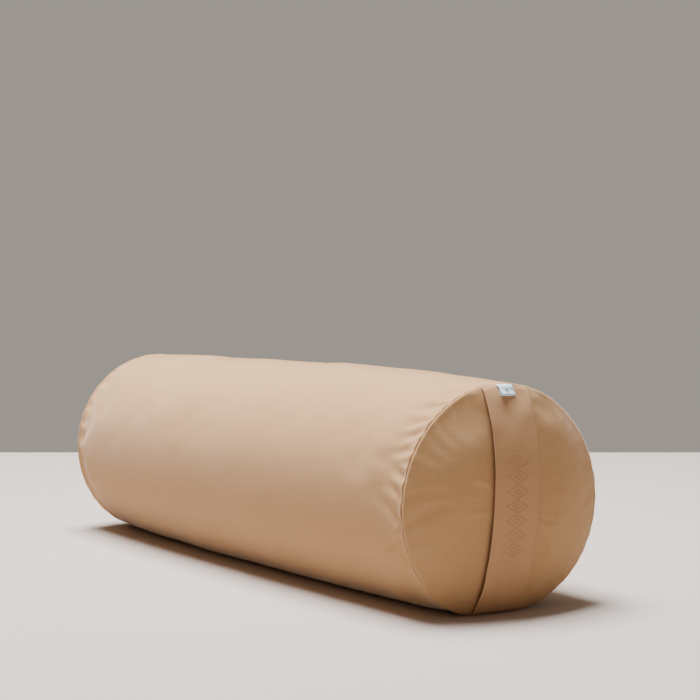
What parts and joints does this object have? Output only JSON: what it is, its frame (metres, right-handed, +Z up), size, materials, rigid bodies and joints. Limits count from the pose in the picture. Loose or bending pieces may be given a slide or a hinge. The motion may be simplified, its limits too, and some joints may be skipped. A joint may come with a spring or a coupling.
{
  "type": "round bolster pillow",
  "caption": "Round firm bolster pillow in plain cotton canvas, with domed ends, a flat carry strap across one end, a folded seam label and a zip along the back.",
  "frame": {"origin": "on the floor under the middle of the bolster, at the centre of the flattened underside", "axes": "+X along the bolster towards the end with the carry strap, +Y to the back with the zip, +Z up"},
  "size_m": [0.707, 0.222, 0.205],
  "materials": {
    "cotton_canvas": "plain-woven tan cotton canvas, matte",
    "strap_canvas": null,
    "woven_label": "pale blue woven ribbon",
    "satin_label": "white satin ribbon, blank",
    "calico": "unbleached calico",
    "cotton_batting": "white cotton batting",
    "zip_tape": "herringbone polyester tape, tan",
    "zip_coil": "nylon coil, tan",
    "zip_metal": "nickel-plated zinc",
    "sewing_thread": "polyester core-spun thread, tan"
  },
  "bodies": {
    "bolster": {"side_panel": "cotton_canvas", "handle_end_panel": "cotton_canvas", "plain_end_panel": "cotton_canvas", "strap_upper_end": "strap_canvas", "strap_lower_end": "strap_canvas", "handle_end_seam_thread": "sewing_thread", "plain_end_seam_thread": "sewing_thread", "zip_stitching": "sewing_thread", "liner_side_panel": "calico", "liner_handle_end_panel": "calico", "liner_plain_end_panel": "calico", "filling_core_roll": "cotton_batting", "filling_wrap": "cotton_batting", "filling_handle_end_pad": "cotton_batting", "filling_plain_end_pad": "cotton_batting", "care_label": "satin_label", "zip_upper_tape": "zip_tape", "zip_lower_tape": "zip_tape", "zip_upper_coil": "zip_coil", "zip_lower_coil": "zip_coil", "zip_top_stops": "zip_metal", "zip_bottom_stop": "zip_metal"},
    "handle": {"handle_strap": "strap_canvas"},
    "label": {"seam_label": "woven_label"},
    "zip_slider": {"zip_slider": "zip_metal"},
    "zip_pull": {"zip_pull_tab": "zip_metal"}
  },
  "joints": [
    {"name": "handle_lift", "type": "slide", "parent": "bolster", "child": "handle", "axis": [1, 0, 0], "range_m": [0, 0.015], "stiffness_N_per_m": 150},
    {"name": "label_flap", "type": "hinge", "parent": "bolster", "child": "label", "pos_m": [0.3272, 0, 0.2005], "axis": [0, -1, 0], "range_deg": [-8, 115], "stiffness_Nm_per_rad": 0.002},
    {"name": "zip_slide", "type": "slide", "parent": "bolster", "child": "zip_slider", "axis": [-1, 0, 0], "range_m": [0, 0.46]},
    {"name": "zip_pull_swing", "type": "hinge", "parent": "zip_slider", "child": "zip_pull", "pos_m": [0.2302, 0.10986, 0.12444], "axis": [0, 0.2588, -0.9659], "range_deg": [0, 170]}
  ]
}
